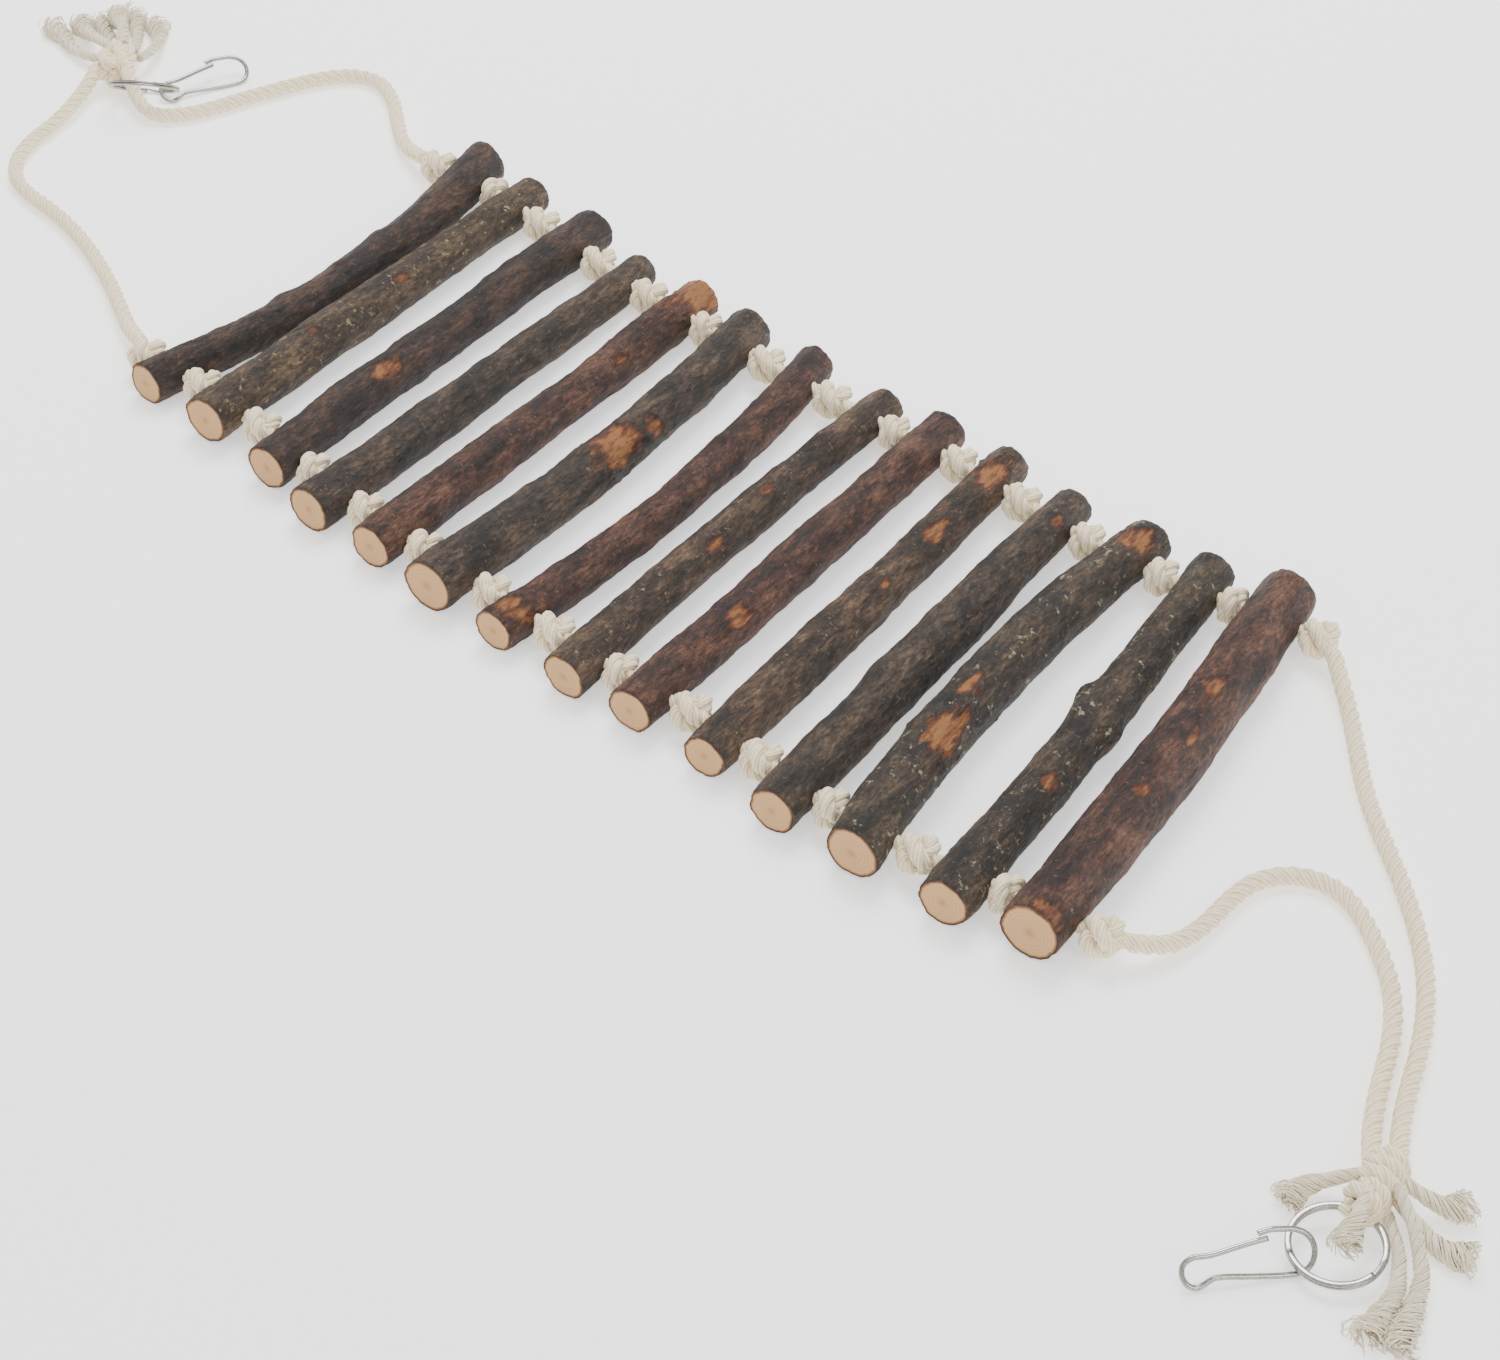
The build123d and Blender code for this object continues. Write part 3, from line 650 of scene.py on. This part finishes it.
# ---- the line of each leg beyond its outer knot, as the points that control it, in mm --
LEG_ROUTES = {
    "lower_leg_right": [
        (219, -99.5, 8.2), (225.5, -93.5, 5.2), (229.5, -85, 3.4), (231.5, -74, 3),
        (232, -62, 3), (234, -52, 3), (240, -44, 3), (249, -40, 3), (259, -41, 3),
        (268, -47, 3), (279, -57, 3), (289, -69, 3), (296, -83, 3), (300.5, -98, 3),
        (305, -112, 3.4), (309.5, -123, 5), (314, -131.5, 7)],
    "lower_leg_left": [
        (207.5, 47.5, 8.2), (214, 40.5, 5.6), (222, 31.5, 3.6), (231, 19, 3), (241, 4.5, 3),
        (251.5, -8, 3), (262, -18.5, 3), (272.5, -29.5, 3), (282.5, -41.5, 3), (291.5, -54, 3),
        (298.5, -67, 3), (304, -81, 3), (308, -95, 3), (312, -108.5, 3.4), (317, -121, 5),
        (321.5, -130.5, 7)],
    "upper_leg_right": [
        (-219, -48, 8.2), (-230, -42, 5), (-242.5, -33.5, 3.2), (-258, -23, 3), (-276, -13, 3),
        (-294, -5, 3), (-311, 0, 3), (-326, 2.5, 3), (-338, 8, 3), (-346.5, 17.5, 3),
        (-351, 30, 3), (-352, 44, 3.4), (-354.5, 58, 4.8), (-358, 69.5, 6.4), (-362, 79.5, 8)],
    "upper_leg_left": [
        (-212.5, 103, 8.2), (-224.5, 107.5, 5.2), (-235, 114.5, 3.4), (-245, 124.5, 3),
        (-256, 135, 3), (-268.5, 142.5, 3), (-281, 140, 3), (-290, 130, 3), (-297.5, 116, 3),
        (-304.5, 101.5, 3), (-310, 88, 3), (-316.5, 77, 3), (-325.5, 70.5, 3.4),
        (-334.5, 72.5, 5.8), (-342.5, 78.2, 9), (-351.5, 83.5, 9.5)],
}


# ---- knots and the ropes through the rungs, in mm ---------------------------------------
ROPE_INSET = 13  # from a rung's end to its rope
ROPE_HEIGHT = 8.5
KNOT_REACH = 6.3  # half the length of a knot that has room enough
KNOT_CLEARANCE = 0.65  # between a knot and the rungs on either side
KNOT_TUBE, KNOT_HOOP = 2.35, 2.75  # the ring round which an overhand knot is tied
KNOT_STEPS = 60
KNOT_GRIP = 1.5  # how far a rope reaches back into the knot before it


def gap_knots():
    """Each knot's centre and its reach along X, by the number of its gap and its side."""
    inset = ROPE_INSET / RUNG_LENGTH
    found = {}
    for side, s in (("right", inset), ("left", 1 - inset)):
        flanks = []
        for rung in RUNGS:
            centre = rung_spine(rung, s)[0]
            reach = rung_diameter(rung, s) / 2
            flanks.append([Vector((x, centre.y, ROPE_HEIGHT))
                           for x in (centre.x - reach, centre.x + reach)])
        outer = Vector((KNOT_REACH + KNOT_CLEARANCE, 0, 0))
        found[0, side] = (flanks[0][0] - outer, KNOT_REACH)
        found[len(RUNGS), side] = (flanks[-1][1] + outer, KNOT_REACH)
        for gap in range(1, len(RUNGS)):
            back, front = flanks[gap - 1][1], flanks[gap][0]
            room = (front.x - back.x) / 2 - KNOT_CLEARANCE
            found[gap, side] = ((back + front) / 2, min(KNOT_REACH, room))
    return found


KNOTS = gap_knots()


def overhand_path(centre, reach, spin, lean):
    """The rope's path through a pulled-tight overhand knot, which wraps round the X axis."""
    rope_radius = KNOT_ROPE["Diameter"] / MM / 2
    stretch = (reach - rope_radius) / KNOT_TUBE
    tilt = Matrix.Rotation(math.radians(lean), 3, "Z")
    path = []
    for step in range(KNOT_STEPS + 1):
        t = spin + step / KNOT_STEPS * 2 * math.pi
        spread = KNOT_HOOP + KNOT_TUBE * math.cos(3 * t)
        tuck = 0.45 if step in (0, KNOT_STEPS) else 1  # both ends are tucked inside
        point = Vector((KNOT_TUBE * stretch * math.sin(3 * t), spread * math.cos(2 * t),
                        0.9 * spread * math.sin(2 * t)))
        path.append((centre + tilt @ point * tuck) * MM)
    return path


def knot_at(gap, side):
    """The path of one of the ladder's knots; each is turned and leans in its own way."""
    centre, reach = KNOTS[gap, side]
    turn = 0.7 * gap + (0.9 if side == "left" else 0)
    return overhand_path(centre, reach, turn, 7 * math.sin(2.3 * gap + (side == "left")))


def rope_paths(number):
    """The paths of both ropes' stretches through a rung, and the knots that follow."""
    paths = []
    for end, gap in (("upper", 0), ("lower", len(RUNGS))):
        if number == max(gap, 1):
            for side in SIDES:
                first, second = (Vector(point) for point in LEG_ROUTES[f"{end}_leg_{side}"][:2])
                paths.append([KNOTS[gap, side][0] * MM,
                              (first + (second - first).normalized()) * MM])
    for side in SIDES:
        start, reach = KNOTS[number - 1, side]
        end = KNOTS[number, side][0]
        way = (end - start).normalized()
        paths.append([(start + way * (reach - KNOT_GRIP)) * MM, end * MM])
        paths.append(knot_at(number, side))
        if number == 1:
            paths.append(knot_at(0, side))
    return paths


for number, rung in enumerate(RUNGS, 1):
    name = f"rung_{number:02d}"
    dress(name + "_branch", make_rung_mesh(number, rung), name + "_body", "bark_wood", name)
    stood_for = [f"rope_{side}_{number:02d}" for side in SIDES]
    if number == 1:
        stood_for += ["outer_knot_right", "outer_knot_left"]
    rope = grow(f"ropes_{number:02d}", LAID_ROPE, rope_paths(number), KNOT_ROPE)
    dress(f"ropes_{number:02d}", rope, name + "_body", "cotton_rope", *stood_for)


# ---- bridles ------------------------------------------------------------------------
TURN_STEPS, PLAIT_STEPS = 24, 120


def spline_points(name, route):
    """Points along the smooth line that a route's points control, all in metres."""
    data = bpy.data.curves.new(name, "CURVE")
    data.dimensions = "3D"
    data.resolution_u = 12
    spline = data.splines.new("NURBS")
    spline.points.add(len(route) - 1)
    for point, place in zip(spline.points, route):
        point.co = (*(value * MM for value in place), 1)
    spline.order_u = 3
    spline.use_endpoint_u = True
    holder = put(name + "_line", data)
    depsgraph = bpy.context.evaluated_depsgraph_get()
    line = bpy.data.meshes.new_from_object(holder.evaluated_get(depsgraph))
    bpy.data.objects.remove(holder)
    return [vertex.co.copy() for vertex in line.vertices]


def knot_axes(along):
    """The way along a knot, the way across it, level, and the way up from both."""
    along = Vector(along).normalized()
    across = along.cross(Vector((0, 0, 1))).normalized()
    return along, across, across.cross(along)


def helix(centre, along, half_length, reach, turns, flat=1.0):
    """Wraps round a knot: even turns from its upper end to its lower one."""
    along, across, up = knot_axes(along)
    path = []
    count = int(turns * TURN_STEPS)
    for step in range(count + 1):
        t = step / count
        angle = 2 * math.pi * turns * t
        waist = reach * (1 - 0.35 * (2 * t - 1) ** 2)
        if step in (0, count):
            waist *= 0.5
        point = Vector(centre) + along * (2 * t - 1) * half_length
        path.append((point + across * math.cos(angle) * waist
                     + up * math.sin(angle) * waist * flat) * MM)
    return path


def plait(centre, along, half_length, reach):
    """A plaited ball: the rope crosses itself over and under as it goes round."""
    along, across, up = knot_axes(along)
    path = []
    for step in range(PLAIT_STEPS + 1):
        t = step / PLAIT_STEPS * 2 * math.pi
        waist = reach + 1.1 * math.cos(5 * t)
        if step in (0, PLAIT_STEPS):
            waist *= 0.5
        point = Vector(centre) + along * half_length * math.sin(5 * t)
        path.append((point + across * math.cos(2 * t) * waist
                     + up * math.sin(2 * t) * waist) * MM)
    return path


# the line of each strand that leaves an end knot, in mm
TAILS = {
    "lower": [
        [(313.5, -138, 8), (308, -141, 6), (301.5, -146.5, 3.2), (299.5, -154, 2.2)],
        [(319, -144, 12), (320.5, -151, 12.5), (321.5, -158, 11), (322.5, -164, 9)],
        [(323.5, -134, 9), (330.5, -133, 6), (337.5, -132.5, 4), (341.5, -126, 3)],
        [(325, -138.5, 6.5), (333, -141.5, 4), (342.5, -145, 2.6), (351.5, -142.5, 2.4)],
        [(325, -138.5, 11), (334, -145, 7), (342.5, -156, 3), (345.5, -169, 2.2),
         (347.5, -182, 2.2)],
        [(324.5, -142.5, 3.5), (332.5, -150, 2.3), (338, -161, 2.1), (339.5, -173, 2.1),
         (337.5, -183.5, 2.1)]],
    "upper": [
        [(-365, 88, 6), (-374, 87, 4.5), (-386, 89, 3), (-398, 95, 2.4), (-407.5, 98, 2.3)],
        [(-364.5, 91, 10.5), (-374.5, 94, 9), (-386, 98, 6), (-398, 105, 3.5)],
        [(-362.5, 94.5, 5), (-372, 99.5, 3.2), (-383, 106.5, 2.3), (-395, 111.5, 2.2)],
        [(-360, 93, 12.5), (-368, 101, 12), (-377, 109, 9), (-388, 117, 5)],
        [(-358.5, 96, 8), (-366, 106, 5), (-375.5, 115.5, 2.6), (-386, 125, 2.3)],
        [(-352.5, 93, 8.5), (-354.5, 103.5, 6.5), (-362, 115, 3.6), (-373.5, 124.5, 2.5)]],
}
FRAY = {"Fibres": 120, "Strand radius": 1.9 * MM, "Spread": 4.6 * MM,
        "Fibre radius": 0.2 * MM, "Lay": 14 * MM, "Seed": 3, "Material": FRAYED_COTTON}
END_KNOT_PATHS = {
    "lower": [
        helix((319, -135, 7.6), (0.12, -1, 0), 6.5, 4.6, 3.1),
        helix((319, -145, 7.4), (-0.1, -1, 0.1), 4.5, 4.4, 2.0, 0.95),
        [(319 * MM, -127 * MM, 7 * MM), (319 * MM, -150 * MM, 7.5 * MM)]],
    "upper": [
        plait((-357.5, 85.4, 8), (-0.6, 0.8, 0), 7.2, 4.4),
        [(-352 * MM, 78 * MM, 8 * MM), (-363 * MM, 92.5 * MM, 8 * MM)]],
}

for end in ENDS:
    body = end + "_bridle"
    knot = dress(end + "_gathering_knot",
                 grow(end + "_knot", LAID_ROPE, END_KNOT_PATHS[end], KNOT_ROPE),
                 body, "cotton_rope", end + "_end_knot")
    tails = [spline_points(f"{end}_tail_{k}", route) for k, route in enumerate(TAILS[end])]
    tassel = dress(end + "_frayed_tassel", grow(end + "_tassel", FRAYED, tails, FRAY),
                   body, "cotton_strand", end + "_tassel")
    for side in SIDES:
        leg = f"{end}_leg_{side}"
        line = spline_points(leg, LEG_ROUTES[leg])
        piece = dress(leg + "_rope", grow(leg, LAID_ROPE, [line], ROPE),
                      body, "cotton_rope", leg)


# ---- split rings and wire clips, in mm --------------------------------------------------
def sweep_section(name, centres, normals, binormals, section):
    """A closed bar of one section along a line, with its two ends capped."""
    points, faces = [], []
    sides = len(section)
    for centre, normal, binormal in zip(centres, normals, binormals):
        points += [(centre + normal * a + binormal * b) * MM for a, b in section]
    for i in range(len(centres) - 1):
        for k in range(sides):
            a, b = i * sides + k, i * sides + (k + 1) % sides
            faces.append((a, b, b + sides, a + sides))
    faces.append(tuple(range(sides - 1, -1, -1)))
    faces.append(tuple(range(len(points) - sides, len(points))))
    mesh = bpy.data.meshes.new(name)
    mesh.from_pydata([tuple(p) for p in points], [], faces)
    mesh.materials.append(NICKEL)
    for polygon in mesh.polygons:
        polygon.use_smooth = len(polygon.vertices) == 4
    return mesh


def rounded(width, height, power=3.0, count=14):
    """A section with rounded corners; with a power of 2 it is an ellipse."""
    section = []
    for k in range(count):
        turn = 2 * math.pi * k / count
        c, s = math.cos(turn), math.sin(turn)
        section.append((math.copysign(abs(c) ** (2 / power), c) * width / 2,
                        math.copysign(abs(s) ** (2 / power), s) * height / 2))
    return section


RING_RADIUS = 13
RING_WIRE = (1.9, 0.98)  # out from the centre, and along the axis
COIL_DEGREES, COIL_STEPS = 695, 180
STEP_START, STEP_LENGTH = 335, 25  # where the wire steps over to the second turn, degrees
WIRE_DIAMETER = 1.7


def make_split_ring(name, hold, outward, tangent, start):
    """Flat wire coiled nearly twice, with its turns pressed together."""
    outward, tangent = Vector(outward).normalized(), Vector(tangent).normalized()
    axis = outward.cross(tangent)
    centre = Vector(hold) + outward * RING_RADIUS
    centres, spokes, axes = [], [], []
    for step in range(COIL_STEPS + 1):
        degrees = COIL_DEGREES * step / COIL_STEPS
        turn = math.radians(start + degrees)
        rise = -0.5 + min(1, max(0, (degrees - STEP_START) / STEP_LENGTH))
        spoke = outward * math.cos(turn) + tangent * math.sin(turn)
        centres.append(centre + spoke * RING_RADIUS + axis * rise)
        spokes.append(spoke)
        axes.append(axis)
    return sweep_section(name, centres, spokes, axes, rounded(*RING_WIRE))


LOWER_TILT, UPPER_TILT = math.radians(3.5), math.radians(38)
UPPER_OUTWARD = Vector((0.87, 0.49, 0)).normalized()
UPPER_LEVEL = Vector((-UPPER_OUTWARD.y, UPPER_OUTWARD.x, 0))
# where each ring is held and the way from there to its centre, which is also where its
# degrees start; the way in which they run; and the degrees at which its clip is linked
RINGS = {
    "lower": {"hold": (319, -147.5, 5.5), "tangent": (1, 0, 0),
              "outward": (0, -math.cos(LOWER_TILT), -math.sin(LOWER_TILT)), "link": -35},
    "upper": {"hold": (-346.8, 71.6, 9), "outward": tuple(UPPER_OUTWARD), "link": 48,
              "tangent": tuple(UPPER_LEVEL * math.cos(UPPER_TILT)
                               - Vector((0, 0, math.sin(UPPER_TILT))))},
}
COIL_START = 100  # where the coiled wire begins, in the ring's degrees
# how each clip lies: the place of the link in its own plane, its heading and its roll
CLIPS = {"lower": ((30.2, 4), 45, 50), "upper": ((4.4, 1.6), 64, 32)}
# a clip in its own plane: from the latch round the big end, along the back and round the eye
CLIP_FRAME = [
    (20.6, 11.2), (23, 12.2), (27, 12.3), (31, 12.3), (35, 10.4), (36.6, 6), (35, 1.6),
    (31, -0.1), (20, -0.2), (9.5, 0.1), (7.2, -1.2), (4.2, -3.1), (1.2, -2.0), (-0.3, 1),
    (0.6, 4.4), (3.4, 5.4)]
# the gate goes on from the eye, and its tip lies under the latch
CLIP_GATE = [(3.0, 5.35), (5, 5.5), (8.2, 5.8), (14, 7.5), (19, 8.9), (23.4, 9.9)]
CLIP_REST = ((4.2, -2.8), (31, 0))  # the line on which it lies: under the eye, under the back


def clip_placing(end):
    """A function from a clip's own plane to the ladder, in mm, and the plane's normal."""
    ring = RINGS[end]
    outward, tangent = Vector(ring["outward"]), Vector(ring["tangent"])
    turn = math.radians(ring["link"])
    link = Vector(ring["hold"]) + outward * RING_RADIUS
    link += (outward * math.cos(turn) + tangent * math.sin(turn)) * RING_RADIUS
    (u, v), heading, roll = CLIPS[end]
    heading, roll = math.radians(heading), math.radians(roll)
    forward = Vector((math.cos(heading), math.sin(heading), 0))
    side = Vector((-forward.y, forward.x, 0)) * math.cos(roll) + Vector((0, 0, math.sin(roll)))
    (u0, v0), (u1, v1) = CLIP_REST
    slant = math.atan2(v1 - v0, u1 - u0)
    along = forward * math.cos(slant) - side * math.sin(slant)
    across = forward * math.sin(slant) + side * math.cos(slant)
    origin = link - along * u - across * v
    return (lambda a, b: origin + along * a + across * b), along.cross(across)


def make_wire(name, route, place, normal):
    """Round wire along the line that a route in the clip's plane controls."""
    line = [p / MM for p in spline_points(name, [tuple(place(u, v)) for u, v in route])]
    centres, sides, ups = [], [], []
    for i, here in enumerate(line):
        ahead = line[min(i + 1, len(line) - 1)] - line[max(i - 1, 0)]
        if ahead.length < 1e-6:  # two points in one place have no way ahead
            continue
        centres.append(here)
        sides.append(ahead.normalized().cross(normal))
        ups.append(normal)
    section = rounded(WIRE_DIAMETER, WIRE_DIAMETER, 2.0, 12)
    return sweep_section(name, centres, sides, ups, section)


for end in ENDS:
    ring = RINGS[end]
    dress(end + "_coiled_ring",
          make_split_ring(end + "_coiled_ring", ring["hold"], ring["outward"],
                          ring["tangent"], COIL_START),
          end + "_ring", "nickel_plated_steel", end + "_split_ring")
    place, normal = clip_placing(end)
    dress(end + "_clip_wire", make_wire(end + "_clip_wire", CLIP_FRAME, place, normal),
          end + "_clip", "nickel_plated_steel", end + "_clip_frame")
    dress(end + "_gate_wire", make_wire(end + "_gate_wire", CLIP_GATE, place, normal),
          end + "_gate", "nickel_plated_steel", end + "_clip_gate")
